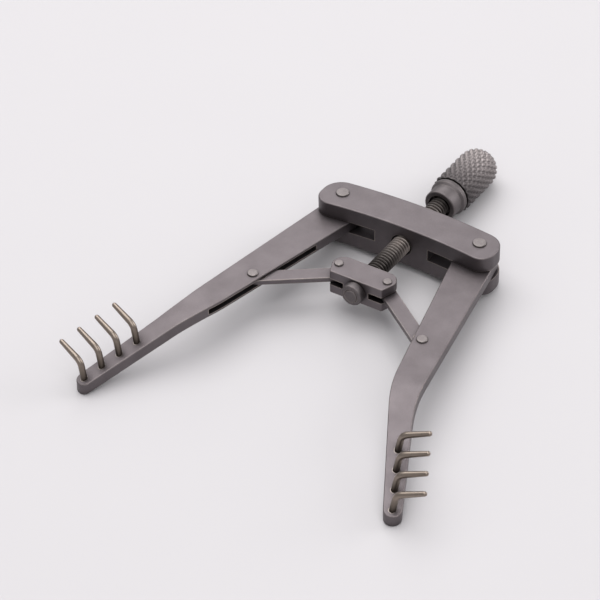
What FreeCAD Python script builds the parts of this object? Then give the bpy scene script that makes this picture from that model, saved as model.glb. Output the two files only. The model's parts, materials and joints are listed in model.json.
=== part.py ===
import FreeCAD, Part

import math
import os

from FreeCAD import Vector

# Self-retaining retractor for small wounds, in stainless steel.
# A knurled knob turns a screw through a bowed crossbar. The screw pushes a
# slider, and two links spread the toothed arms, which hinge in the forked
# ends of the crossbar. The thread holds them where they are left.
#
# Millimetres. X runs along the crossbar, +Y towards the knob, -Y towards the
# tips of the arms, +Z up, the way the teeth point. The origin is the middle
# of the crossbar's flat underside, half way between the two arm pivots.
# The right half is drawn, and the left half is its mirror image.

# Fits
running_clearance = 0.05    # radial, between a pin and what turns on it
seat_clearance = 0.01       # radial, between a pin and what it is fixed in
fork_clearance = 0.10       # each side of an arm in the crossbar's fork
pocket_clearance = 0.06     # each side of a link in an arm's pocket
slider_clearance = 0.15     # each side of a link in the slider
end_clearance = 0.05        # each end of the slider on the screw's journal
slot_play = 0.26            # extra, each side of the pin in a link's long eye

# Crossbar
pivot_span = 32.0           # between the two arm pivots
bar_back = 3.85             # from the pivots to the bowed edge on the knob's side
bar_front = 4.38            # and to the bowed edge on the arms' side
bar_end = 4.3               # and to each end
bar_back_corner = 4.2       # radius, seen from above
bar_front_corner = 3.0
bar_height = 9.3
bar_bow = 0.95              # how far the middle stands towards the knob
screw_lead_in = 0.35        # countersink at both ends of the screw's bore
bar_fork = 9.8              # depth of the forks, inward from the pivots
bar_edge = 0.30             # rounding of its top and bottom outlines

# Arms
arm_thickness = 2.4
arm_outer_root = 3.70       # from the pivot to the outer edge
arm_inner_root = 4.78       # from the pivot to the inner edge
arm_outer_angle = 9.75      # degrees outward, from root to elbow
arm_inner_angle = 13.0
tip_outer_angle = 25.0      # degrees outward, from elbow to tip
tip_inner_angle = 28.5
elbow_forward = 43.8        # of the pivot, where the outer edge turns
elbow_radius = 36.0
arm_reach = 67.3            # from the pivot to the tip's end, along the tooth row
tip_width = 3.45            # at that end
heel_outer_radius = 3.5
heel_inner_radius = 4.4
tip_corner_radius = 1.6
arm_edge = 0.25             # rounding of its top and bottom outlines
tip_slope = 18.9            # degrees down, beyond the bend
bend_start = 42.9           # to the bend's corner, along the tip's direction
bend_radius = 28.0          # inside radius of the bend
tip_heading = 26.4          # degrees outward, the direction of the tooth row

# Teeth
teeth = 4
tooth_pitch = 3.92          # along the tooth row, in plan
tip_margin = 1.45           # from the foremost tooth to the arm's end
tooth_diameter = 1.30
tooth_tip_diameter = 1.00
tooth_depth = 1.7           # set into the arm
tooth_turn = 12.8           # degrees back from straight outward
tooth_lean = 10.8           # degrees outward, of the shank
tooth_rise = 20.0           # degrees up, of the hooked end
tooth_shank = 3.90          # from the arm to the corner of the bend
tooth_hook = 5.62           # from that corner to the tip
tooth_bend_radius = 2.0

# Pocket in each arm, and the link in it
pocket_start = 13.0         # forward of the pivot
pocket_margin = 2.4         # from its front end to the elbow
pocket_wall = 1.6           # steel left along the outer edge
pocket_corner = 3.0
arm_pin_forward = 28.0      # the link's pin in the arm, forward of the pivot
arm_pin_inset = 1.87        # and in from the arm's inner edge
link_thickness = 1.1
link_width = 3.2
link_edge = 0.12            # rounding of its top and bottom outlines
link_eye_wall = 0.60
link_reach = 1.25           # the pin's travel outward in the long eye
link_return = 1.65          # and its travel inward

# Slider
slider_station = 18.0       # from the pivots' line to the slider's pins
slider_length = 14.2
slider_taper = 1.1          # how far its front face stops short of each end
slider_depth = 5.7
slider_height = 5.4
slider_pin_inset = 1.5      # from its ends to the links' pins
slider_slot_room = 1.1      # behind the round end of each link
slider_back_radius = 2.4
slider_corner = 0.45
slider_edge = 0.20          # rounding of its top and bottom outlines

# Screw, knob and retaining collar
screw_diameter = 4.0
screw_seat = 7.5            # length of the screw inside the knob
journal_diameter = 2.8
peen_proud = 0.15
collar_diameter = 4.6
collar_length = 1.75
collar_edge = 0.35
knob_station = 11.7         # from the pivots' line to the knob's front
neck_diameter = 7.0
neck_length = 3.4
shoulder_diameter = 8.0
shoulder_length = 1.0
groove_diameter = 7.0
groove_width = 0.35
grip_diameter = 8.8
grip_edge = 0.35
knob_length = 19.2
dome_radius = 4.0
neck_recess_diameter = 5.0
neck_recess_depth = 1.0

# Rivets: shank and head diameters, and how high the heads stand
pivot_shank = 2.0
pivot_head = 2.8
arm_pin_shank = 1.3
arm_pin_head = 2.25
slider_pin_shank = 1.2
slider_pin_head = 1.85
head_height = 0.36
head_rounding = 0.22        # of the head's rim

# Worked out from the sizes above
middle = bar_height / 2
pivot_x = pivot_span / 2
fork_gap = arm_thickness + 2 * fork_clearance
pocket_gap = link_thickness + 2 * pocket_clearance
slider_gap = link_thickness + 2 * slider_clearance
pocket_end = elbow_forward - pocket_margin
slider_pin_x = slider_length / 2 - slider_pin_inset
slider_web = 2 * (slider_pin_x - link_width / 2 - slider_slot_room)
bar_web = pivot_span - 2 * bar_fork
slider_front_y = -slider_station - slider_depth / 2
slider_back_y = -slider_station + slider_depth / 2
collar_front_y = slider_front_y - end_clearance - collar_length
grip_start = neck_length + shoulder_length + groove_width
far = 200.0


def place(out, forward, z=0.0):
    """A point of the right arm, from distances to its pivot."""
    return Vector(pivot_x + out, -forward, z)


def heading(angle):
    """Unit vector forward, turned outward by an angle in degrees."""
    a = math.radians(angle)
    return Vector(math.sin(a), -math.cos(a), 0)


def meet(p, u, q, v):
    """Where the line from p along u meets the line from q along v."""
    w = q - p
    t = (w.x * v.y - w.y * v.x) / (u.x * v.y - u.y * v.x)
    return p + u * t


def rounded_face(corners):
    """Flat face from (point, radius) corners, each rounded by its radius."""
    count = len(corners)
    starts, ends, middles = [], [], []
    for i in range(count):
        p, r = corners[i]
        u = (corners[i - 1][0] - p).normalize()
        v = (corners[(i + 1) % count][0] - p).normalize()
        half = u.getAngle(v) / 2
        reach = r / math.tan(half)
        bisector = (u + v).normalize()
        starts.append(p + u * reach)
        ends.append(p + v * reach)
        middles.append(p + bisector * (r / math.sin(half) - r))
    edges = []
    for i in range(count):
        if corners[i][1] > 0:
            edges.append(Part.Arc(starts[i], middles[i], ends[i]).toShape())
        after = starts[(i + 1) % count]
        if (after - ends[i]).Length > 1e-6:
            edges.append(Part.LineSegment(ends[i], after).toShape())
    return Part.Face(Part.Wire(edges))


def prism(face, low, high):
    """A face drawn at z = 0, raised from low to high."""
    solid = face.extrude(Vector(0, 0, high - low))
    solid.translate(Vector(0, 0, low))
    return solid


def round_ended(start, end, radius):
    """Flat face of a bar or slot with full round ends at two centres."""
    run = (end - start).normalize()
    side = Vector(-run.y, run.x, 0) * radius
    cap = run * radius
    near = Part.Arc(start + side, start - cap, start - side).toShape()
    far_end = Part.Arc(end - side, end + cap, end + side).toShape()
    lower = Part.LineSegment(start - side, end - side).toShape()
    upper = Part.LineSegment(end + side, start + side).toShape()
    return Part.Face(Part.Wire([near, lower, far_end, upper]))


def rod(radius, start, end):
    """Cylinder between two points."""
    run = end - start
    return Part.makeCylinder(radius, run.Length, start, run)


def ease_rims(solid, radius):
    """Round the edges between a plate's upright walls and its broad faces."""
    rims = []
    for edge in solid.Edges:
        spot = edge.valueAt((edge.FirstParameter + edge.LastParameter) / 2)
        tilts = []
        for face in solid.ancestorsOfType(edge, Part.Face):
            tilts.append(abs(face.normalAt(*face.Surface.parameter(spot)).z))
        if min(tilts) < 0.01 and max(tilts) > 0.5:
            rims.append(edge)
    return solid.makeFillet(radius, rims)


def mirrored(solid):
    """The left-hand twin of a right-hand piece."""
    return solid.mirror(Vector(0, 0, 0), Vector(1, 0, 0))


def riveted_pin(x, y, shank, head, low, high, flush=False):
    """Upright pin with a low button head on each outer face, or flush below."""
    body = rod(shank / 2, Vector(x, y, low), Vector(x, y, high))
    headed = [(high, 1)] if flush else [(high, 1), (low, -1)]
    for face, way in headed:
        button = rod(head / 2, Vector(x, y, face), Vector(x, y, face + way * head_height))
        rims = [e for e in button.Edges if e.Closed and abs(e.CenterOfMass.z - face) > head_height / 2]
        body = body.fuse(button.makeFillet(head_rounding, rims))
    return body.removeSplitter()


def crossbar():
    """Bowed bar, forked at both ends, with the screw's bore."""
    radius = (pivot_x * pivot_x + bar_bow * bar_bow) / (2 * bar_bow)
    end = pivot_x + bar_end

    def edge_point(x, shift):
        return Vector(x, bar_bow - radius + math.sqrt((radius + shift) ** 2 - x * x), 0)

    back = [edge_point(x, bar_back) for x in (-end, 0, end)]
    front = [edge_point(x, -bar_front) for x in (end, 0, -end)]
    edges = [Part.Arc(*back).toShape(), Part.LineSegment(back[2], front[0]).toShape(),
             Part.Arc(*front).toShape(), Part.LineSegment(front[2], back[0]).toShape()]
    bar = prism(Part.Face(Part.Wire(edges)), 0, bar_height)
    for corner_radius, corners in ((bar_back_corner, (back[0], back[2])),
                                   (bar_front_corner, (front[0], front[2]))):
        uprights = []
        for edge in bar.Edges:
            spot = edge.CenterOfMass
            for corner in corners:
                if math.hypot(spot.x - corner.x, spot.y - corner.y) < 0.01:
                    uprights.append(edge)
        bar = bar.makeFillet(corner_radius, uprights)
    bar = ease_rims(bar, bar_edge)
    reach = pivot_x + bar_end
    depth = bar_front + bar_back + bar_bow
    for side in (1, -1):
        slot = Part.makeBox(reach, 4 * depth, fork_gap, Vector(0, -2 * depth, middle - fork_gap / 2))
        slot.translate(Vector(bar_web / 2 if side > 0 else -bar_web / 2 - reach, 0, 0))
        bar = bar.cut(slot)
        x = side * pivot_x
        bore = rod(pivot_shank / 2 + seat_clearance, Vector(x, 0, -1), Vector(x, 0, bar_height + 1))
        bar = bar.cut(bore)
    hole = screw_diameter / 2 + running_clearance
    bore = rod(hole, Vector(0, -depth, middle), Vector(0, depth, middle))
    lead_ins = []
    for y, way in ((bar_bow - bar_front, 1), (bar_bow + bar_back, -1)):
        lead_ins.append(Part.makeCone(hole + screw_lead_in + 0.1, hole, screw_lead_in + 0.1,
                                      Vector(0, y - way * 0.1, middle), Vector(0, way, 0)))
    return bar.cut([bore] + lead_ins)


row = heading(tip_heading)
across = Vector(-row.y, row.x, 0)
along = Vector(1, 0, 0)
row_start = place(0, 0)
root_outer = place(arm_outer_root / math.cos(math.radians(arm_outer_angle)), 0)
root_inner = place(-arm_inner_root / math.cos(math.radians(arm_inner_angle)), 0)
outer_edge, inner_edge = heading(arm_outer_angle), heading(arm_inner_angle)
elbow_outer = meet(root_outer, outer_edge, place(0, elbow_forward), along)
end_outer = meet(elbow_outer, heading(tip_outer_angle), row_start + row * arm_reach, across)
end_inner = end_outer - across * tip_width
elbow_inner = meet(root_inner, inner_edge, end_inner, heading(tip_inner_angle))
first_tooth = (end_outer + end_inner) / 2 - row * tip_margin
arm_pin = (meet(root_inner, inner_edge, place(0, arm_pin_forward), along)
           + along * (arm_pin_inset / math.cos(math.radians(arm_inner_angle))))


def top_of_arm(point):
    """The height of the arm's upper face at a plan point beyond the bend."""
    run = (point - row_start).dot(row) - bend_start
    return middle + arm_thickness / 2 - run * math.tan(math.radians(tip_slope))


def tooth_bases():
    """Where each tooth meets the arm's upper face, from the tip back."""
    bases = []
    for i in range(teeth):
        foot = first_tooth - row * (tooth_pitch * i)
        bases.append(Vector(foot.x, foot.y, top_of_arm(foot)))
    return bases


def tooth_frame():
    """The shank's direction and the hooked end's direction."""
    a = math.radians(tooth_turn)
    flat = Vector(math.cos(a), math.sin(a), 0)
    lean = math.radians(tooth_lean)
    rise = math.radians(tooth_rise)
    shank = flat * math.sin(lean) + Vector(0, 0, math.cos(lean))
    hook = flat * math.cos(rise) + Vector(0, 0, math.sin(rise))
    return shank, hook


def tooth(base):
    """Wire tooth: a shank, a bend, and a hooked end tapering to a round tip."""
    shank, hook = tooth_frame()
    turn = shank.getAngle(hook)
    reach = tooth_bend_radius * math.tan(turn / 2)
    corner = base + shank * tooth_shank
    bend_in = corner - shank * reach
    bend_out = corner + hook * reach
    tip = corner + hook * tooth_hook
    axis = shank.cross(hook).normalize()
    hub = bend_in + axis.cross(shank) * tooth_bend_radius
    body = rod(tooth_diameter / 2, base - shank * tooth_depth, bend_in)
    section = Part.Face(Part.Wire(Part.makeCircle(tooth_diameter / 2, bend_in, shank)))
    bend = section.revolve(hub, axis, math.degrees(turn))
    end = Part.makeCone(tooth_diameter / 2, tooth_tip_diameter / 2,
                        (tip - bend_out).Length, bend_out, hook)
    ball = Part.makeSphere(tooth_tip_diameter / 2, tip)
    return body.fuse([bend, end, ball]).removeSplitter()


def arm_plan():
    """Outline of the right arm, seen from above."""
    heel = place(0, -arm_outer_root)
    corners = [
        (meet(root_outer, outer_edge, heel, along), heel_outer_radius),
        (elbow_outer, elbow_radius),
        (end_outer, tip_corner_radius),
        (end_inner, tip_corner_radius),
        (elbow_inner, elbow_radius),
        (meet(root_inner, inner_edge, heel, along), heel_inner_radius),
    ]
    return rounded_face(corners)


def arm_side():
    """Side view of the arm as a solid: flat, then bent down to the tip."""
    top = middle + arm_thickness / 2
    slope = math.radians(tip_slope)
    back_shift = arm_thickness * math.tan(slope / 2)
    drop = (far - bend_start) * math.tan(slope)
    up = Vector(0, 0, 1)
    below = arm_thickness / math.cos(slope)

    def at(run, z):
        return row_start + row * run + up * z - across * far

    corners = [
        (at(-far, top), 0),
        (at(bend_start, top), bend_radius + arm_thickness),
        (at(far, top - drop), 0),
        (at(far, top - drop - below), 0),
        (at(bend_start - back_shift, top - arm_thickness), bend_radius),
        (at(-far, top - arm_thickness), 0),
    ]
    return rounded_face(corners).extrude(across * (2 * far))


def arm_pocket():
    """The slot along the arm's inner edge that takes the link."""
    wall = root_outer + outer_edge.cross(Vector(0, 0, 1)) * pocket_wall
    back = meet(wall, outer_edge, place(0, pocket_start), along)
    front = meet(wall, outer_edge, place(0, pocket_end), along)
    corners = [
        (back, pocket_corner),
        (place(-far, pocket_start), 0),
        (place(-far, pocket_end), 0),
        (front, pocket_corner),
    ]
    return prism(rounded_face(corners), middle - pocket_gap / 2, middle + pocket_gap / 2)


def arm():
    """The right arm, with its pocket and the holes for pins and teeth."""
    body = ease_rims(prism(arm_plan(), -far, far).common(arm_side()), arm_edge)
    body = body.cut(arm_pocket())
    high = Vector(0, 0, bar_height)
    holes = [
        rod(pivot_shank / 2 + running_clearance, row_start, row_start + high),
        rod(arm_pin_shank / 2 + seat_clearance, arm_pin, arm_pin + high),
    ]
    shank, _ = tooth_frame()
    for base in tooth_bases():
        low = base - shank * (tooth_depth + seat_clearance)
        holes.append(rod(tooth_diameter / 2 + seat_clearance, low, base + shank * tooth_diameter))
    return body.cut(holes)


def link():
    """The right link: round eye at the slider, long eye at the arm."""
    start = Vector(slider_pin_x, -slider_station, 0)
    run = (arm_pin - start).normalize()
    slot = arm_pin_shank / 2 + running_clearance + slot_play
    nose = arm_pin + run * (link_reach + slot + link_eye_wall - link_width / 2)
    low, high = middle - link_thickness / 2, middle + link_thickness / 2
    body = ease_rims(prism(round_ended(start, nose, link_width / 2), low, high), link_edge)
    eye = round_ended(arm_pin - run * link_return, arm_pin + run * link_reach, slot)
    body = body.cut(prism(eye, low - 1, high + 1))
    bore = rod(slider_pin_shank / 2 + running_clearance,
               start + Vector(0, 0, low - 1), start + Vector(0, 0, high + 1))
    return body.cut(bore)


def slider_block():
    """Block that the screw pushes, slotted at both ends for the links."""
    half = slider_length / 2
    nose = half - slider_taper
    shoulder = -slider_station
    corners = [
        (Vector(-nose, slider_front_y, 0), slider_corner),
        (Vector(nose, slider_front_y, 0), slider_corner),
        (Vector(half, shoulder, 0), slider_corner),
        (Vector(half, slider_back_y, 0), slider_back_radius),
        (Vector(-half, slider_back_y, 0), slider_back_radius),
        (Vector(-half, shoulder, 0), slider_corner),
    ]
    low, high = middle - slider_height / 2, middle + slider_height / 2
    block = ease_rims(prism(rounded_face(corners), low, high), slider_edge)
    for side in (1, -1):
        slot = Part.makeBox(slider_length, 4 * slider_depth, slider_gap,
                            Vector(0, -slider_station - 2 * slider_depth, middle - slider_gap / 2))
        slot.translate(Vector(slider_web / 2 if side > 0 else -slider_web / 2 - slider_length, 0, 0))
        block = block.cut(slot)
        x = side * slider_pin_x
        bore = rod(slider_pin_shank / 2 + seat_clearance,
                   Vector(x, -slider_station, low - 1), Vector(x, -slider_station, high + 1))
        block = block.cut(bore)
    bore = rod(journal_diameter / 2 + running_clearance,
               Vector(0, slider_front_y - 1, middle), Vector(0, slider_back_y + 1, middle))
    return block.cut(bore)


def turned(profile):
    """Solid turned about the screw's axis from (radius, y) points."""
    points = [Vector(r, y, middle) for r, y in profile]
    face = Part.Face(Part.makePolygon(points + [points[0]]))
    return face.revolve(Vector(0, 0, middle), Vector(0, 1, 0), 360)


def screw():
    """Threaded rod with a journal that carries the slider and the collar."""
    shoulder = slider_back_y + end_clearance
    end = knob_station + neck_recess_depth + screw_seat
    peen = collar_front_y - peen_proud
    r, j = screw_diameter / 2, journal_diameter / 2
    return turned([(0, peen), (j - peen_proud, peen), (j, collar_front_y), (j, shoulder),
                   (r, shoulder), (r, end), (0, end)])


def retaining_collar():
    """Button on the screw's end that keeps the slider on its journal."""
    back = slider_front_y - end_clearance
    r, j = collar_diameter / 2, journal_diameter / 2 + seat_clearance
    return turned([(j, back), (r, back), (r, collar_front_y + collar_edge),
                   (r - collar_edge, collar_front_y), (j, collar_front_y)])


def knob():
    """Neck, shoulder, groove and a domed grip, bored for the screw."""
    def at(length):
        return knob_station + length

    neck, shoulder = neck_diameter / 2, shoulder_diameter / 2
    groove, grip = groove_diameter / 2, grip_diameter / 2
    flare = shoulder - neck
    ring_end = neck_length + shoulder_length
    profile = [(0, 0, 0), (neck, 0, grip_edge), (neck, neck_length - flare, 0),
               (shoulder, neck_length, 0), (shoulder, ring_end, 0), (groove, ring_end, 0),
               (groove, grip_start, 0), (grip, grip_start, grip_edge),
               (grip, knob_length, dome_radius), (0, knob_length, 0)]
    face = rounded_face([(Vector(r, at(y), middle), edge) for r, y, edge in profile])
    body = face.revolve(Vector(0, 0, middle), Vector(0, 1, 0), 360)
    recess = rod(neck_recess_diameter / 2, Vector(0, at(-1), middle),
                 Vector(0, at(neck_recess_depth), middle))
    bore = rod(screw_diameter / 2 + seat_clearance, Vector(0, at(0), middle),
               Vector(0, at(neck_recess_depth + screw_seat + seat_clearance), middle))
    return body.cut([recess, bore])


def pins():
    """Pivot rivets, and the links' pins in the slider and in the arms."""
    arm_low, arm_high = middle - arm_thickness / 2, middle + arm_thickness / 2
    low, high = middle - slider_height / 2, middle + slider_height / 2
    return {
        "pivot_rivet": riveted_pin(pivot_x, 0, pivot_shank, pivot_head, 0, bar_height, flush=True),
        "link_arm_pin": riveted_pin(arm_pin.x, arm_pin.y, arm_pin_shank, arm_pin_head,
                                    arm_low, arm_high),
        "link_slider_pin": riveted_pin(slider_pin_x, -slider_station, slider_pin_shank,
                                       slider_pin_head, low, high),
    }


def build():
    """Every piece of the retractor, by name."""
    pieces = {
        "crossbar": crossbar(),
        "slider_block": slider_block(),
        "screw": screw(),
        "knob": knob(),
        "retaining_collar": retaining_collar(),
    }
    paired = {"arm": arm(), "link": link()}
    paired.update(pins())
    for name, solid in paired.items():
        pieces[name + "_right"] = solid
        pieces[name + "_left"] = mirrored(solid)
    for number, base in enumerate(tooth_bases(), start=1):
        solid = tooth(base)
        pieces["tooth_right_%d" % number] = solid
        pieces["tooth_left_%d" % number] = mirrored(solid)
    return pieces


os.makedirs("parts", exist_ok=True)
for name, shape in build().items():
    shape.exportStep("parts/" + name + ".step")
    print("%-24s %8.2f mm3  solids %d  valid %s" % (name, shape.Volume, len(shape.Solids), shape.isValid()))
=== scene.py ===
import json
import math

import bmesh
import bpy
from mathutils import Matrix, Vector

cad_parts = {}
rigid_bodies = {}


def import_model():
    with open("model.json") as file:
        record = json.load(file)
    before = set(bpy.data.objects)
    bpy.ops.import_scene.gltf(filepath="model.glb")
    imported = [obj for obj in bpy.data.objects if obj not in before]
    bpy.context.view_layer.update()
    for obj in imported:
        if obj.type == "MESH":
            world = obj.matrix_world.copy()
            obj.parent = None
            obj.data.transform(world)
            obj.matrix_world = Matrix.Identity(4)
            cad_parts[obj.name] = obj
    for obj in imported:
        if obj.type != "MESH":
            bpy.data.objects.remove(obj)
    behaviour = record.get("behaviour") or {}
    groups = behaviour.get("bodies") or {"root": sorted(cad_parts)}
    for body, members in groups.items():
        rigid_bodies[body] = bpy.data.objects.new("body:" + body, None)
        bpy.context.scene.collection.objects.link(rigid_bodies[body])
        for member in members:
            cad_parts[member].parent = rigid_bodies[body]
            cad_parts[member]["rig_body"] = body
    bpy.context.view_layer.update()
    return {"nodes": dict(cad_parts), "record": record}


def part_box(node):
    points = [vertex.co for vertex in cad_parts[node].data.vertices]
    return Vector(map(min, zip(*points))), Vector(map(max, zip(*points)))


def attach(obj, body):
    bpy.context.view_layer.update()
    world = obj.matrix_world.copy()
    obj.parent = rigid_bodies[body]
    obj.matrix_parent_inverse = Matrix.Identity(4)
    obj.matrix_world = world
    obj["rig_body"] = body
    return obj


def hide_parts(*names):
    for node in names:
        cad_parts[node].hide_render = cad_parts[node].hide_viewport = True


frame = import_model()

MM = 0.001

# Camera, at the photograph's viewing angle
camera_lens = 157.46
camera_place = Vector((213.13, -362.41, 328.06)) * MM
camera_target = Vector((-7.81, -28.87, 4.65)) * MM
camera_roll = math.radians(-1.168)

# Screw thread, right-handed
thread_pitch = 0.8 * MM
thread_depth = 0.43 * MM
thread_around = 72
crest_share = 0.24           # of a pitch, flat on top
root_share = 0.14            # of a pitch, flat at the bottom

# Knob
recess_diameter = 5.0 * MM
recess_depth = 1.0 * MM
neck_diameter = 7.0 * MM
neck_length = 3.4 * MM
shoulder_diameter = 8.0 * MM
shoulder_length = 1.0 * MM
groove_diameter = 7.0 * MM
groove_width = 0.35 * MM
dome_radius = 4.0 * MM
knurl_columns = 18
knurl_period = 1.95 * MM     # along the knob
knurl_depth = 0.33 * MM
knurl_flat = 0.31            # of a point's width, worn flat

# Screw's journal through the slider, and its lengths beyond the thread that shows
journal_diameter = 2.8 * MM
journal_overlap = 0.15 * MM  # into the thread
slider_gap = 0.05 * MM       # between the slider and the thread
seat_depth = 1.0 * MM        # of the thread, beyond the knob's recess

# Turned pieces
bevel = 0.35 * MM
bore_clearance = 0.01 * MM

# Teeth, with a painted shadow where they stand in the arm
foot_shadow_height = 3.0 * MM        # height over which the dark tone fades
foot_sunk = 0.75             # share of that height that the arm hides

# Painted shade in corners and gaps, and on the bar's upright faces
nook_reach = 2.0             # mm
nook_tone = 0.30
upright_painted_shade = 0.82

# Meshes
weld = 0.0005 * MM           # points this close are one
sliver = 0.0002 * MM         # edges this short go
flat_angle = 0.3             # degrees between faces that count as one
plate_crease = 28.0          # degrees, past which a plate's edge stays sharp
thread_rows = 12             # to a turn
knurl_steps = 6              # across half a point

# Floor, backdrop and room
floor_radius = 1.7
wall_radius = 0.25
wall_height = 0.05
floor_colour = (0.515, 0.505, 0.517)
floor_rough = 0.7
floor_mottle = 0.985         # of the colour, where the floor is darkest
room_colour = (0.95, 0.94, 0.96)
room_strength = 0.60
warm_white = (1.0, 0.985, 0.98)
cool_white = (1.0, 0.985, 0.99)


def add(tree, kind, inputs=(), **settings):
    """Adds a node. Inputs pair a socket's name or number with a value or a socket."""
    node = tree.nodes.new(kind)
    for name, value in settings.items():
        setattr(node, name, value)
    for key, value in dict(inputs).items():
        if isinstance(value, bpy.types.NodeSocket):
            tree.links.new(value, node.inputs[key])
        else:
            node.inputs[key].default_value = value
    return node


def calc(tree, operation, *values, clamp=False):
    """Result of a math node on numbers or sockets."""
    node = add(tree, "ShaderNodeMath", enumerate(values), operation=operation, use_clamp=clamp)
    return node.outputs[0]


def blended(tree, share, first, second, blend="MIX"):
    """Colour that a mix of two colours or sockets puts out."""
    node = add(tree, "ShaderNodeMix", {0: share, 6: first, 7: second}, data_type="RGBA", blend_type=blend)
    return node.outputs[2]


def new_tree(kind, name, inputs, outputs):
    """Node group with named sockets, and its input and output nodes."""
    tree = bpy.data.node_groups.new(name, kind)
    for socket, kind_of, value in inputs:
        made = tree.interface.new_socket(socket, in_out="INPUT", socket_type=kind_of)
        if value is not None:
            made.default_value = value
    for socket, kind_of in outputs:
        tree.interface.new_socket(socket, in_out="OUTPUT", socket_type=kind_of)
    return tree, tree.nodes.new("NodeGroupInput"), tree.nodes.new("NodeGroupOutput")


FLOAT, WHOLE, MATERIAL, MESH = ("NodeSocket" + kind for kind in ("Float", "Int", "Material", "Geometry"))


def object_point(tree):
    """Place on the object, in metres."""
    return add(tree, "ShaderNodeTexCoord").outputs["Object"]


def blasted_grain():
    """Fine pitting and broad cloudiness of a blasted surface."""
    tree, given, result = new_tree(
        "ShaderNodeTree", "blasted_grain",
        [("Grain Size", FLOAT, 0.12), ("Cloud Size", FLOAT, 5.0)],
        [("Tone", FLOAT), ("Height", FLOAT)])
    point = object_point(tree)
    per_metre = 1 / MM
    fine = calc(tree, "DIVIDE", per_metre, given.outputs["Grain Size"])
    broad = calc(tree, "DIVIDE", per_metre, given.outputs["Cloud Size"])
    pits = add(tree, "ShaderNodeTexNoise", {"Vector": point, "Scale": fine, "Detail": 2.0})
    cloud = add(tree, "ShaderNodeTexNoise",
                {"Vector": point, "Scale": broad, "Detail": 3.0, "Roughness": 0.6})
    mixed = calc(tree, "ADD", calc(tree, "MULTIPLY", pits.outputs[0], 0.45),
                 calc(tree, "MULTIPLY", cloud.outputs[0], 0.55))
    tree.links.new(mixed, result.inputs["Tone"])
    tree.links.new(pits.outputs[0], result.inputs["Height"])
    return tree


def edge_wear_and_highlight():
    """Mask of the outer edges, paler from polish by handling and from a painted highlight."""
    tree, given, result = new_tree(
        "ShaderNodeTree", "edge_wear_and_highlight",
        [("Radius", FLOAT, 0.3), ("Breakup", FLOAT, 0.4)], [("Mask", FLOAT)])
    radius = calc(tree, "MULTIPLY", given.outputs["Radius"], MM)
    rounded = add(tree, "ShaderNodeBevel", {"Radius": radius}, samples=6)
    flat = add(tree, "ShaderNodeNewGeometry")
    dot = add(tree, "ShaderNodeVectorMath", {0: rounded.outputs[0], 1: flat.outputs["True Normal"]},
              operation="DOT_PRODUCT")
    turn = calc(tree, "SUBTRACT", 1.0, dot.outputs["Value"])
    broken = add(tree, "ShaderNodeTexNoise", {"Vector": object_point(tree), "Scale": 700.0, "Detail": 3.0})
    loss = calc(tree, "MULTIPLY", broken.outputs[0], given.outputs["Breakup"])
    wear_and_highlight_mask = calc(tree, "SUBTRACT", calc(tree, "MULTIPLY", turn, 12.0), loss, clamp=True)
    tree.links.new(wear_and_highlight_mask, result.inputs["Mask"])
    return tree


def painted_nook_shade():
    """Painted shade in corners and gaps, darker the more of the surroundings is close by."""
    tree, given, result = new_tree(
        "ShaderNodeTree", "painted_nook_shade", [("Reach", FLOAT, 2.0), ("Deepest", FLOAT, 0.3)], [("Tone", FLOAT)])
    reach = calc(tree, "MULTIPLY", given.outputs["Reach"], MM)
    open_share = add(tree, "ShaderNodeAmbientOcclusion", {"Distance": reach}, samples=8).outputs["AO"]
    tone = add(tree, "ShaderNodeMapRange", {"Value": open_share, "From Min": 0.15, "From Max": 0.93,
                                            "To Min": given.outputs["Deepest"], "To Max": 1.0})
    tree.links.new(tone.outputs[0], result.inputs["Tone"])
    return tree


def turning_rings():
    """Fine rings that a lathe leaves, square to the screw's axis."""
    tree, given, result = new_tree(
        "ShaderNodeTree", "turning_rings", [("Ring Width", FLOAT, 0.08)], [("Height", FLOAT)])
    across = add(tree, "ShaderNodeSeparateXYZ", {0: object_point(tree)})
    turns = calc(tree, "DIVIDE", calc(tree, "MULTIPLY", across.outputs["Y"], 1 / MM),
                 given.outputs["Ring Width"])
    along = add(tree, "ShaderNodeCombineXYZ", {"Y": turns})
    rings = add(tree, "ShaderNodeTexNoise", {"Vector": along.outputs[0], "Scale": 1.0, "Detail": 2.0})
    tree.links.new(rings.outputs[0], result.inputs["Height"])
    return tree


def group(tree, source, **inputs):
    """Places a node group in a material, with its own values."""
    node = tree.nodes.new("ShaderNodeGroup")
    node.node_tree = source
    for name, value in inputs.items():
        node.inputs[name.replace("_", " ")].default_value = value
    return node


GRAIN = blasted_grain()
WEAR_AND_HIGHLIGHT = edge_wear_and_highlight()
NOOK_SHADE = painted_nook_shade()
RINGS = turning_rings()


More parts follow.
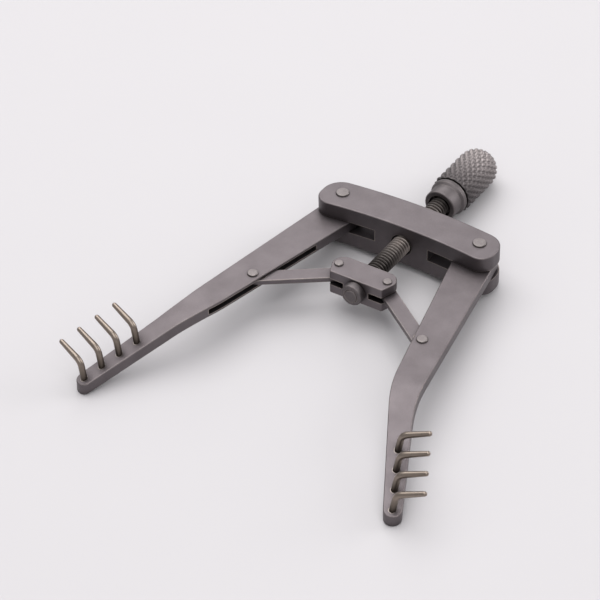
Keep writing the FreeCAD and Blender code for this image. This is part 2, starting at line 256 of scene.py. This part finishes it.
def steel(name, dark, light, worn_and_highlight, rough, grain_size=0.12, cloud_size=5.0, bump=0.02, wear_and_highlight_radius=0.3,
          ring_width=0.0, crest=0.0, valley=1.0, upright=1.0):
    """Stainless steel: clouded tone and fine grain, paler smoother edges that are partly wear and partly a
    painted highlight, and painted shade in nooks. Sizes are in mm.

    Where crest is above 0, the piece's own crest attribute to that power takes the edges' place as the paler
    mask, and the tone falls to valley where the attribute is 0, as painted shade in grooves and at the
    teeth's feet. upright is the tone that upright faces keep, as painted shade on them."""
    material = bpy.data.materials.new(name)
    material.use_nodes = True
    tree = material.node_tree
    tree.nodes.clear()
    grain = group(tree, GRAIN, Grain_Size=grain_size, Cloud_Size=cloud_size)
    tone = add(tree, "ShaderNodeMapRange",
               {"Value": grain.outputs["Tone"], "From Min": 0.35, "From Max": 0.65})
    colour = blended(tree, tone.outputs[0], (*dark, 1), (*light, 1))
    # Crest materials: paler crests as wear and a painted highlight, painted shade falling towards the valleys
    if crest:
        raised = add(tree, "ShaderNodeAttribute", attribute_name="crest").outputs["Fac"]
        wear_and_highlight_mask = calc(tree, "POWER", raised, crest)
        valley_shade_tone = add(tree, "ShaderNodeMapRange", {"Value": raised, "To Min": valley, "To Max": 1.0})
        colour = blended(tree, 1.0, colour, valley_shade_tone.outputs[0], "MULTIPLY")
    else:
        wear_and_highlight_mask = group(tree, WEAR_AND_HIGHLIGHT, Radius=wear_and_highlight_radius, Breakup=0.35).outputs["Mask"]
    # Paler colour on edges or crests: partly wear, partly a painted highlight
    colour = blended(tree, wear_and_highlight_mask, colour, (*worn_and_highlight, 1))
    # Painted shade in corners and gaps, multiplied into the colour
    shade_in_nooks = group(tree, NOOK_SHADE, Reach=nook_reach, Deepest=nook_tone)
    colour = blended(tree, 1.0, colour, shade_in_nooks.outputs["Tone"], "MULTIPLY")
    # Painted shade on upright faces, darkest where they stand straight
    if upright < 1.0:
        facing = add(tree, "ShaderNodeSeparateXYZ", {0: add(tree, "ShaderNodeTexCoord").outputs["Normal"]})
        slant = calc(tree, "ABSOLUTE", facing.outputs["Z"])
        level = add(tree, "ShaderNodeMapRange",
                    {"Value": slant, "From Min": 0.3, "From Max": 0.8, "To Min": upright, "To Max": 1.0})
        colour = blended(tree, 1.0, colour, level.outputs[0], "MULTIPLY")
    height = grain.outputs["Height"]
    if ring_width:
        rings = group(tree, RINGS, Ring_Width=ring_width)
        height = calc(tree, "ADD", height, calc(tree, "MULTIPLY", rings.outputs["Height"], 1.5))
    surface = add(tree, "ShaderNodeBump", {"Height": height, "Strength": 1.0, "Distance": bump * MM})
    roughness = add(tree, "ShaderNodeMapRange",
                    {"Value": grain.outputs["Tone"], "From Min": 0.3, "From Max": 0.7,
                     "To Min": rough + 0.05, "To Max": rough - 0.05})
    smoother = calc(tree, "SUBTRACT", roughness.outputs[0], calc(tree, "MULTIPLY", wear_and_highlight_mask, 0.12))
    shader = add(tree, "ShaderNodeBsdfPrincipled",
                 {"Base Color": colour, "Metallic": 1.0, "Roughness": smoother, "Normal": surface.outputs[0]})
    out = tree.nodes.new("ShaderNodeOutputMaterial")
    tree.links.new(shader.outputs[0], out.inputs["Surface"])
    return material


# The third colour of each finish is its edge or crest colour: wear with a painted highlight
plate_tones = (0.137, 0.121, 0.126), (0.164, 0.146, 0.152), (0.38, 0.332, 0.300)
PLATE = steel("blasted_plate", *plate_tones, 0.48, wear_and_highlight_radius=0.32)
# The bar: the plate's finish with painted shade on its upright faces
BAR_SHADED = steel("blasted_bar_painted_shade", *plate_tones, 0.48, wear_and_highlight_radius=0.32, upright=upright_painted_shade)
RIVET = steel("blasted_rivet", (0.165, 0.149, 0.148), (0.210, 0.190, 0.188), (0.44, 0.395, 0.36), 0.42,
              grain_size=0.2, cloud_size=1.0, wear_and_highlight_radius=0.25)
# Teeth: a painted shadow darkens their feet
WIRE = steel("tooth_wire", (0.17, 0.140, 0.116), (0.23, 0.191, 0.160), (0.26, 0.218, 0.184), 0.42,
             grain_size=0.1, cloud_size=1.5, bump=0.008, crest=3.0, valley=0.12)
# Thread and knurl: painted shade in the grooves, painted highlight on the crests
THREAD = steel("cut_thread", (0.25, 0.224, 0.210), (0.32, 0.287, 0.269), (0.44, 0.388, 0.355), 0.46,
               grain_size=0.1, cloud_size=2.0, bump=0.008, crest=3.0, valley=0.30)
TURNED = steel("turned_ring", (0.120, 0.108, 0.110), (0.158, 0.143, 0.145), (0.32, 0.280, 0.255), 0.55,
               grain_size=0.12, cloud_size=3.0, bump=0.012, wear_and_highlight_radius=0.35, ring_width=0.09)
KNURL = steel("knurled_grip", (0.140, 0.126, 0.129), (0.168, 0.152, 0.155), (0.335, 0.303, 0.297), 0.50,
              grain_size=0.15, cloud_size=3.0, bump=0.004, crest=3.0, valley=0.22)


def tidy_mesh(mesh, crease=35.0):
    """Merges doubles, closes holes, turns faces outwards and smooths all but the sharp edges."""
    bm = bmesh.new()
    bm.from_mesh(mesh)
    bmesh.ops.remove_doubles(bm, verts=bm.verts, dist=weld)
    bmesh.ops.dissolve_degenerate(bm, edges=bm.edges, dist=sliver)
    bmesh.ops.holes_fill(bm, edges=[e for e in bm.edges if e.is_boundary], sides=0)
    bmesh.ops.recalc_face_normals(bm, faces=bm.faces)
    for face in bm.faces:
        face.smooth = True
    bm.to_mesh(mesh)
    bm.free()
    mesh.set_sharp_from_angle(angle=math.radians(crease))


def baked(thing):
    """Plain mesh of an object with its modifiers applied."""
    layer = bpy.context.evaluated_depsgraph_get()
    mesh = bpy.data.meshes.new_from_object(thing.evaluated_get(layer), preserve_all_data_layers=True,
                                           depsgraph=layer)
    thing.modifiers.clear()
    return mesh


def shown(name, mesh, material, body, slot, *replaced):
    """A finished piece that rides on its body and stands for its CAD nodes."""
    piece = bpy.data.objects.new(name, mesh)
    bpy.context.scene.collection.objects.link(piece)
    if not mesh.materials:
        mesh.materials.append(material)
    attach(piece, body)
    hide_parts(*replaced)


def dressed(node, material, slot, foot=0.0):
    """Smoothly shaded copy of a CAD node, with its flat faces joined up.

    Where foot is above 0, the crest attribute rises from 0 in the piece's foot to 1 above it, for a painted
    shadow at the foot."""
    source = frame["nodes"][node]
    mesh = source.data.copy()
    mesh.materials.clear()
    for name in ("custom_normal", "sharp_face", "sharp_edge"):
        if name in mesh.attributes:
            mesh.attributes.remove(mesh.attributes[name])
    bm = bmesh.new()
    bm.from_mesh(mesh)
    bmesh.ops.remove_doubles(bm, verts=bm.verts, dist=weld)
    bmesh.ops.dissolve_limit(bm, angle_limit=math.radians(flat_angle), verts=bm.verts, edges=bm.edges)
    for face in bm.faces:
        face.smooth = True
    bm.to_mesh(mesh)
    bm.free()
    mesh.set_sharp_from_angle(angle=math.radians(plate_crease))
    temporary = bpy.data.objects.new(node + "_temporary", mesh)
    bpy.context.scene.collection.objects.link(temporary)
    weighted = temporary.modifiers.new("weighted", "WEIGHTED_NORMAL")
    weighted.keep_sharp = True
    final = baked(temporary)
    bpy.data.objects.remove(temporary)
    if foot:
        lowest = min(vertex.co.z for vertex in final.vertices)
        crest = final.attributes.new("crest", "FLOAT", "POINT")
        for vertex in final.vertices:
            crest.data[vertex.index].value = min(max((vertex.co.z - lowest) / foot - foot_sunk, 0.0), 1.0)
    shown("dressed_" + node, final, material, source["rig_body"], slot, node)


def grown(name, tree, material, **inputs):
    """Plain mesh that a Geometry Nodes tree makes from the given sizes."""
    empty = bpy.data.objects.new(name, bpy.data.meshes.new(name))
    bpy.context.scene.collection.objects.link(empty)
    modifier = empty.modifiers.new("grown", "NODES")
    modifier.node_group = tree
    for item in tree.interface.items_tree:
        if item.in_out == "INPUT" and item.name in inputs:
            modifier[item.identifier] = inputs[item.name]
    for item in tree.interface.items_tree:
        if item.in_out == "INPUT" and item.socket_type == MATERIAL:
            modifier[item.identifier] = material
    mesh = baked(empty)
    bpy.data.objects.remove(empty)
    return mesh


def triangle_wave(tree, value):
    """Distance from a value to the nearest whole number, doubled: 0 to 1."""
    nearest = calc(tree, "ROUND", value)
    return calc(tree, "MULTIPLY", calc(tree, "ABSOLUTE", calc(tree, "SUBTRACT", value, nearest)), 2.0)


def wrap_round_axis(tree, given, grid, angle, radius, station, crest):
    """Sets a grid's points round the screw's axis and ends the tree."""
    out = calc(tree, "MULTIPLY", radius, calc(tree, "SINE", angle))
    up = calc(tree, "MULTIPLY", radius, calc(tree, "COSINE", angle))
    place = add(tree, "ShaderNodeCombineXYZ",
                {"X": out, "Y": station, "Z": calc(tree, "ADD", up, given.outputs["Axis Height"])})
    moved = add(tree, "GeometryNodeSetPosition", {"Geometry": grid, "Position": place.outputs[0]})
    stored = add(tree, "GeometryNodeStoreNamedAttribute",
                 {"Geometry": moved.outputs[0], "Name": "crest", "Value": crest},
                 data_type="FLOAT", domain="POINT")
    single = add(tree, "GeometryNodeMergeByDistance", {"Geometry": stored.outputs[0], "Distance": weld})
    real = add(tree, "GeometryNodeRealizeInstances", {"Geometry": single.outputs[0]})
    return add(tree, "GeometryNodeSetMaterial",
               {"Geometry": real.outputs[0], "Material": given.outputs["Material"]})


def grid_shares(tree, around, along):
    """A flat grid, and how far round and along each of its points is, 0 to 1."""
    columns = calc(tree, "ADD", around, 1.0)
    rows = calc(tree, "ADD", along, 1.0)
    grid = add(tree, "GeometryNodeMeshGrid",
               {"Size X": 1.0, "Size Y": 1.0, "Vertices X": columns, "Vertices Y": rows})
    place = add(tree, "ShaderNodeSeparateXYZ", {0: add(tree, "GeometryNodeInputPosition").outputs[0]})
    return (grid.outputs["Mesh"], calc(tree, "ADD", place.outputs["X"], 0.5),
            calc(tree, "ADD", place.outputs["Y"], 0.5))


def thread_tree():
    """Right-hand V thread: a grid whose rows follow the helix, squared off at both ends."""
    inputs = [(n, FLOAT, None) for n in
              ("Axis Height", "Start", "End", "Radius", "Depth", "Pitch", "Crest", "Root")]
    inputs += [("Around", WHOLE, None), ("Rows Per Turn", WHOLE, None), ("Material", MATERIAL, None)]
    tree, given, result = new_tree("GeometryNodeTree", "screw_thread", inputs, [("Mesh", MESH)])
    start, end, pitch = (given.outputs[n] for n in ("Start", "End", "Pitch"))

    # The grid covers whole turns and one more, because its rows slant by a pitch
    turns = calc(tree, "CEIL", calc(tree, "DIVIDE", calc(tree, "SUBTRACT", end, start), pitch))
    span = calc(tree, "ADD", turns, 1.0)
    rows = calc(tree, "MULTIPLY", span, given.outputs["Rows Per Turn"])
    grid, round_share, along_share = grid_shares(tree, given.outputs["Around"], rows)
    angle = calc(tree, "MULTIPLY", round_share, 2 * math.pi)
    turn = calc(tree, "SUBTRACT", calc(tree, "MULTIPLY", along_share, span), 1.0)

    # Rows past either end of the thread are laid flat on that end
    free = calc(tree, "MULTIPLY_ADD", calc(tree, "ADD", turn, round_share), pitch, start)
    station = calc(tree, "MAXIMUM", calc(tree, "MINIMUM", free, end), start)

    # Height of the flanks, which runs out to nothing at both ends
    wave = triangle_wave(tree, turn)
    flank = calc(tree, "SUBTRACT", calc(tree, "SUBTRACT", 1.0, given.outputs["Crest"]), given.outputs["Root"])
    height = calc(tree, "DIVIDE", calc(tree, "SUBTRACT", wave, given.outputs["Root"]), flank, clamp=True)
    from_start = calc(tree, "DIVIDE", calc(tree, "SUBTRACT", station, start), given.outputs["Depth"])
    from_end = calc(tree, "DIVIDE", calc(tree, "SUBTRACT", end, station), given.outputs["Depth"])
    faded = calc(tree, "MINIMUM", calc(tree, "MINIMUM", height, from_start), from_end)
    low = calc(tree, "SUBTRACT", given.outputs["Radius"], given.outputs["Depth"])
    radius = calc(tree, "MULTIPLY_ADD", faded, given.outputs["Depth"], low)
    last = wrap_round_axis(tree, given, grid, angle, radius, station, faded)
    tree.links.new(last.outputs[0], result.inputs[0])
    return tree


def knurl_tree():
    """Domed grip: a grid laid on the grip's side and dome, cut by two sets of crossing grooves."""
    inputs = [(n, FLOAT, None) for n in
              ("Axis Height", "Start", "End", "Radius", "Neck", "Dome", "Depth", "Period", "Columns", "Flat")]
    inputs += [("Around", WHOLE, None), ("Along", WHOLE, None), ("Material", MATERIAL, None)]
    tree, given, result = new_tree("GeometryNodeTree", "diamond_knurl", inputs, [("Mesh", MESH)])
    start, end, full, neck, dome = (given.outputs[n] for n in ("Start", "End", "Radius", "Neck", "Dome"))

    # The outline: up the front face, along the side and over the dome
    face = calc(tree, "SUBTRACT", full, neck)
    straight = calc(tree, "SUBTRACT", calc(tree, "SUBTRACT", end, start), dome)
    arc = calc(tree, "MULTIPLY", dome, math.pi / 2)
    top = calc(tree, "SUBTRACT", full, dome)
    path = calc(tree, "ADD", calc(tree, "ADD", face, straight), arc)
    grid, round_share, along_share = grid_shares(tree, given.outputs["Around"], given.outputs["Along"])
    angle = calc(tree, "MULTIPLY", round_share, 2 * math.pi)
    run = calc(tree, "SUBTRACT", calc(tree, "MULTIPLY", along_share, path), face)

    # Radius and station of the uncut outline
    on_face = calc(tree, "MAXIMUM", calc(tree, "MULTIPLY", run, -1.0), 0.0)
    on_side = calc(tree, "MINIMUM", calc(tree, "MAXIMUM", run, 0.0), straight)
    swing = calc(tree, "DIVIDE", calc(tree, "MAXIMUM", calc(tree, "SUBTRACT", run, straight), 0.0), dome)
    shrink = calc(tree, "COSINE", swing)
    bare = calc(tree, "SUBTRACT", calc(tree, "MULTIPLY_ADD", dome, shrink, top), on_face)
    along = calc(tree, "ADD", start, calc(tree, "MULTIPLY_ADD", dome, calc(tree, "SINE", swing), on_side))

    # Points left between two sets of crossing grooves
    column = calc(tree, "MULTIPLY", round_share, given.outputs["Columns"])
    ring = calc(tree, "DIVIDE", run, given.outputs["Period"])
    blunt = calc(tree, "SUBTRACT", 1.0, given.outputs["Flat"])
    slopes = []
    for direction in ("ADD", "SUBTRACT"):
        wave = triangle_wave(tree, calc(tree, direction, column, ring))
        slopes.append(add(tree, "ShaderNodeMapRange", {"Value": wave, "From Max": blunt},
                          interpolation_type="SMOOTHSTEP").outputs[0])
    height = calc(tree, "MULTIPLY", *slopes)

    # Depth of the cut, which shrinks with the dome, and a chamfer at the front
    size = calc(tree, "DIVIDE", bare, full)
    cut = calc(tree, "MULTIPLY", calc(tree, "MULTIPLY", given.outputs["Depth"], size),
               calc(tree, "SUBTRACT", 1.0, height))
    edge = calc(tree, "SUBTRACT", given.outputs["Depth"], calc(tree, "MAXIMUM", run, 0.0))
    cut = calc(tree, "MAXIMUM", cut, calc(tree, "MAXIMUM", edge, 0.0))
    radius = calc(tree, "SUBTRACT", bare, calc(tree, "MULTIPLY", cut, shrink))
    station = calc(tree, "SUBTRACT", along, calc(tree, "MULTIPLY", cut, calc(tree, "SINE", swing)))

    # The front face stays below the grooves
    on_grip = calc(tree, "GREATER_THAN", run, 0.0)
    radius = calc(tree, "ADD", calc(tree, "MULTIPLY", on_grip, radius),
                  calc(tree, "MULTIPLY", calc(tree, "SUBTRACT", 1.0, on_grip),
                       calc(tree, "MINIMUM", bare, calc(tree, "SUBTRACT", full, given.outputs["Depth"]))))
    last = wrap_round_axis(tree, given, grid, angle, radius, station, height)
    tree.links.new(last.outputs[0], result.inputs[0])
    return tree


def lathe(profile, axis_height, around=96):
    """Closed ring or rod turned from (radius, station) points about the screw's axis."""
    bm = bmesh.new()
    rings = []
    for i in range(around):
        angle = 2 * math.pi * i / around
        rings.append([bm.verts.new((r * math.sin(angle), y, axis_height + r * math.cos(angle)))
                      for r, y in profile])
    for i in range(around):
        here, after = rings[i], rings[(i + 1) % around]
        for j in range(len(profile)):
            k = (j + 1) % len(profile)
            bm.faces.new((here[j], here[k], after[k], after[j]))
    mesh = bpy.data.meshes.new("turned")
    bm.to_mesh(mesh)
    bm.free()
    return mesh


def joined(name, *meshes):
    """One mesh from several, with their materials."""
    parts = []
    for mesh in meshes:
        part = bpy.data.objects.new(name, mesh)
        bpy.context.scene.collection.objects.link(part)
        parts.append(part)
    with bpy.context.temp_override(active_object=parts[0], selected_editable_objects=parts):
        bpy.ops.object.join()
    mesh = parts[0].data
    bpy.data.objects.remove(parts[0])
    return mesh


def rounded_corner(before, corner, after, radius, steps=5):
    """Points of a small arc in place of a profile's corner."""
    p, a, b = (Vector(v) for v in (corner, before, after))
    u, v = (a - p).normalized(), (b - p).normalized()
    half = u.angle(v) / 2
    reach = min(radius / math.tan(half), (a - p).length / 2, (b - p).length / 2)
    size = reach * math.tan(half)
    hub = p + (u + v).normalized() * (size / math.sin(half))
    first, last = p + u * reach - hub, p + v * reach - hub
    sweep = first.angle(last)
    points = []
    for i in range(steps + 1):
        t = i / steps
        arm = (first * math.sin((1 - t) * sweep) + last * math.sin(t * sweep)) / math.sin(sweep)
        points.append(tuple(hub + arm))
    return points


def eased(corners, radius):
    """A closed profile with each corner rounded by its own share of the radius, 0 for a sharp one."""
    points = []
    for i, (r, y, soft) in enumerate(corners):
        if soft:
            before, after = corners[i - 1][:2], corners[(i + 1) % len(corners)][:2]
            points += rounded_corner(before, (r, y), after, radius * soft)
        else:
            points.append((r, y))
    return points


screw_low, screw_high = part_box("screw")
knob_low, knob_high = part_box("knob")
collar_low, collar_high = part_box("retaining_collar")
slider_low, slider_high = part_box("slider_block")
axis_height = (screw_low.z + screw_high.z) / 2
screw_radius = (screw_high.z - screw_low.z) / 2
knob_radius = (knob_high.z - knob_low.z) / 2
collar_radius = (collar_high.z - collar_low.z) / 2


def make_knob():
    """Neck with its recess, shoulder and groove, and the knurled grip."""
    front = knob_low.y
    neck, shoulder, groove = neck_diameter / 2, shoulder_diameter / 2, groove_diameter / 2
    flare = shoulder - neck
    ring_end = front + neck_length + shoulder_length
    grip_start = ring_end + groove_width
    bore = screw_radius + bore_clearance
    corners = [
        (recess_diameter / 2, front, 0.3), (neck, front, 1.0), (neck, front + neck_length - flare, 0.6),
        (shoulder, front + neck_length, 0.5), (shoulder, ring_end, 0.4), (groove, ring_end, 0),
        (groove, grip_start + knurl_depth, 0), (bore, grip_start + knurl_depth, 0),
        (bore, front + recess_depth, 0), (recess_diameter / 2, front + recess_depth, 0)]
    body = lathe(eased(corners, bevel), axis_height)
    body.materials.append(TURNED)
    tidy_mesh(body)
    path = (knob_radius - groove) + (knob_high.y - grip_start - dome_radius) + dome_radius * math.pi / 2
    grip = grown("grip", knurl_tree(), KNURL, **{
        "Axis Height": axis_height, "Start": grip_start, "End": knob_high.y, "Radius": knob_radius,
        "Neck": groove, "Dome": dome_radius, "Depth": knurl_depth, "Period": knurl_period,
        "Columns": float(knurl_columns), "Flat": knurl_flat, "Around": 2 * knurl_columns * knurl_steps,
        "Along": round(path / (knurl_period / 2) * knurl_steps)})
    tidy_mesh(grip, crease=70.0)
    shown("knob_with_knurl", joined("knob", body, grip), KNURL, "screw", "knurled_steel", "knob")


def make_screw():
    """Threaded rod, its plain journal through the slider, and the peened end."""
    shoulder = slider_high.y + slider_gap
    end = knob_low.y + recess_depth + seat_depth
    thread = grown("thread", thread_tree(), THREAD, **{
        "Axis Height": axis_height, "Start": shoulder, "End": end, "Radius": screw_radius,
        "Depth": thread_depth, "Pitch": thread_pitch, "Crest": crest_share, "Root": root_share,
        "Around": thread_around, "Rows Per Turn": thread_rows})
    tidy_mesh(thread, crease=40.0)
    journal = journal_diameter / 2
    inside = shoulder + journal_overlap
    corners = [(weld, screw_low.y, 0), (journal, screw_low.y, 0.6), (journal, inside, 0), (weld, inside, 0)]
    rod = lathe(eased(corners, bevel), axis_height, around=64)
    rod.materials.append(TURNED)
    tidy_mesh(rod)
    shown("screw_with_thread", joined("screw", thread, rod), THREAD, "screw", "threaded_steel", "screw")


def make_collar():
    """Round button that keeps the slider on the screw."""
    inner = journal_diameter / 2 + bore_clearance
    corners = [(inner, collar_high.y, 0), (collar_radius, collar_high.y, 0.3),
               (collar_radius, collar_low.y, 1.0), (inner, collar_low.y, 0.3)]
    mesh = lathe(eased(corners, bevel), axis_height)
    mesh.materials.append(TURNED)
    tidy_mesh(mesh)
    shown("collar_button", mesh, TURNED, "screw", "turned_steel", "retaining_collar")


def make_plates_and_pins():
    """Bar, arms, links, slider, rivets and teeth, from the CAD's own shapes."""
    finishes = {"satin_steel": PLATE, "rivet_steel": RIVET, "wire_steel": WIRE}
    for part in frame["record"]["subparts"]:
        slot = part["material_slot"]
        if slot in finishes:
            finish = BAR_SHADED if part["node"] == "crossbar" else finishes[slot]
            # Teeth get a painted shadow at their feet
            foot = foot_shadow_height if slot == "wire_steel" else 0.0
            dressed(part["node"], finish, slot, foot)


def plain_material(name, colour, rough):
    """Faintly mottled matt finish for the floor."""
    material = bpy.data.materials.new(name)
    material.use_nodes = True
    tree = material.node_tree
    shader = tree.nodes["Principled BSDF"]
    mottle = add(tree, "ShaderNodeTexNoise", {"Vector": object_point(tree), "Scale": 40.0, "Detail": 4.0})
    shade = [c * floor_mottle for c in colour]
    mix = blended(tree, mottle.outputs[0], (*shade, 1), (*colour, 1))
    tree.links.new(mix, shader.inputs["Base Color"])
    shader.inputs["Roughness"].default_value = rough
    return material


def resting_plane():
    """Height at y = 0 and slope along y of the flat surface that the retractor rests on."""
    points = [(v.co.y, v.co.z) for node in frame["nodes"].values() for v in node.data.vertices]
    balance = sum(y for y, z in points) / len(points)

    def height_for(slope):
        return min(z - slope * (y - balance) for y, z in points)

    # The slope with the highest plane under all points, found by thirds
    low, high, tries = -0.3, 0.3, 50
    for _ in range(tries):
        third = (high - low) / 3
        if height_for(low + third) < height_for(high - third):
            low += third
        else:
            high -= third
    slope = (low + high) / 2
    return height_for(slope) - slope * balance, slope


def make_floor():
    """Pale floor that curves up into a low wall all round."""
    height, slope = resting_plane()
    bm = bmesh.new()
    around, curve = 96, 12
    rings = [(0.0, 0.0), (floor_radius * 0.3, 0.0), (floor_radius * 0.6, 0.0)]
    for i in range(curve + 1):
        turn = math.pi / 2 * i / curve
        rings.append((floor_radius + wall_radius * math.sin(turn), wall_radius * (1 - math.cos(turn))))
    rings.append((floor_radius + wall_radius, wall_radius + wall_height))
    loops = []
    for radius, rise in rings[1:]:
        angles = [2 * math.pi * k / around for k in range(around)]
        loops.append([bm.verts.new((radius * math.cos(a), radius * math.sin(a), rise)) for a in angles])
    centre = bm.verts.new((0, 0, 0))
    for k in range(around):
        bm.faces.new((centre, loops[0][k], loops[0][(k + 1) % around]))
        for inner, outer in zip(loops, loops[1:]):
            bm.faces.new((inner[k], outer[k], outer[(k + 1) % around], inner[(k + 1) % around]))
    for face in bm.faces:
        face.smooth = True
    mesh = bpy.data.meshes.new("floor")
    bm.to_mesh(mesh)
    bm.free()
    mesh.transform(Matrix.Rotation(math.atan(slope), 4, "X"))
    mesh.transform(Matrix.Translation((0, 0, height)))
    mesh.materials.append(plain_material("pale_floor", floor_colour, floor_rough))
    floor = bpy.data.objects.new("floor", mesh)
    bpy.context.scene.collection.objects.link(floor)


def area_light(name, direction, distance, size, radiance, colour):
    """Square softbox that faces the object, with its brightness as radiance."""
    data = bpy.data.lights.new(name, "AREA")
    data.size = size
    data.energy = radiance * math.pi * size * size
    data.color = colour
    lamp = bpy.data.objects.new(name, data)
    bpy.context.scene.collection.objects.link(lamp)
    way = Vector(direction).normalized()
    lamp.location = way * distance
    lamp.rotation_mode = "QUATERNION"
    lamp.rotation_quaternion = way.to_track_quat("Z", "Y")


def make_lights():
    """Soft light from above, behind, the right and the front, with a dim room all round."""
    area_light("overhead", (-0.37, 0.16, 0.91), 0.95, 0.90, 3.0, warm_white)
    area_light("back", (-0.46, 0.74, 0.50), 0.95, 0.45, 1.2, cool_white)
    area_light("right", (0.62, 0.68, 0.39), 1.1, 0.65, 3.4, cool_white)
    area_light("front", (0.38, -0.45, 0.80), 1.0, 0.9, 1.7, warm_white)
    world = bpy.data.worlds.new("room")
    world.use_nodes = True
    background = world.node_tree.nodes["Background"]
    background.inputs["Color"].default_value = (*room_colour, 1)
    background.inputs["Strength"].default_value = room_strength
    bpy.context.scene.world = world


def make_camera():
    """Camera at the photograph's viewing angle."""
    data = bpy.data.cameras.new("camera")
    data.lens = camera_lens
    data.clip_start, data.clip_end = 0.01, 10.0
    camera = bpy.data.objects.new("camera", data)
    bpy.context.scene.collection.objects.link(camera)
    look = (camera_target - camera_place).normalized()
    level = look.cross(Vector((0, 0, 1))).normalized()
    rise = level.cross(look)
    right = level * math.cos(camera_roll) + rise * math.sin(camera_roll)
    up = rise * math.cos(camera_roll) - level * math.sin(camera_roll)
    turn = Matrix((right, up, -look)).transposed()
    camera.matrix_world = Matrix.Translation(camera_place) @ turn.to_4x4()
    bpy.context.scene.camera = camera


make_camera()
make_plates_and_pins()
make_knob()
make_screw()
make_collar()
make_floor()
make_lights()
bpy.context.scene.view_settings.view_transform = "Standard"
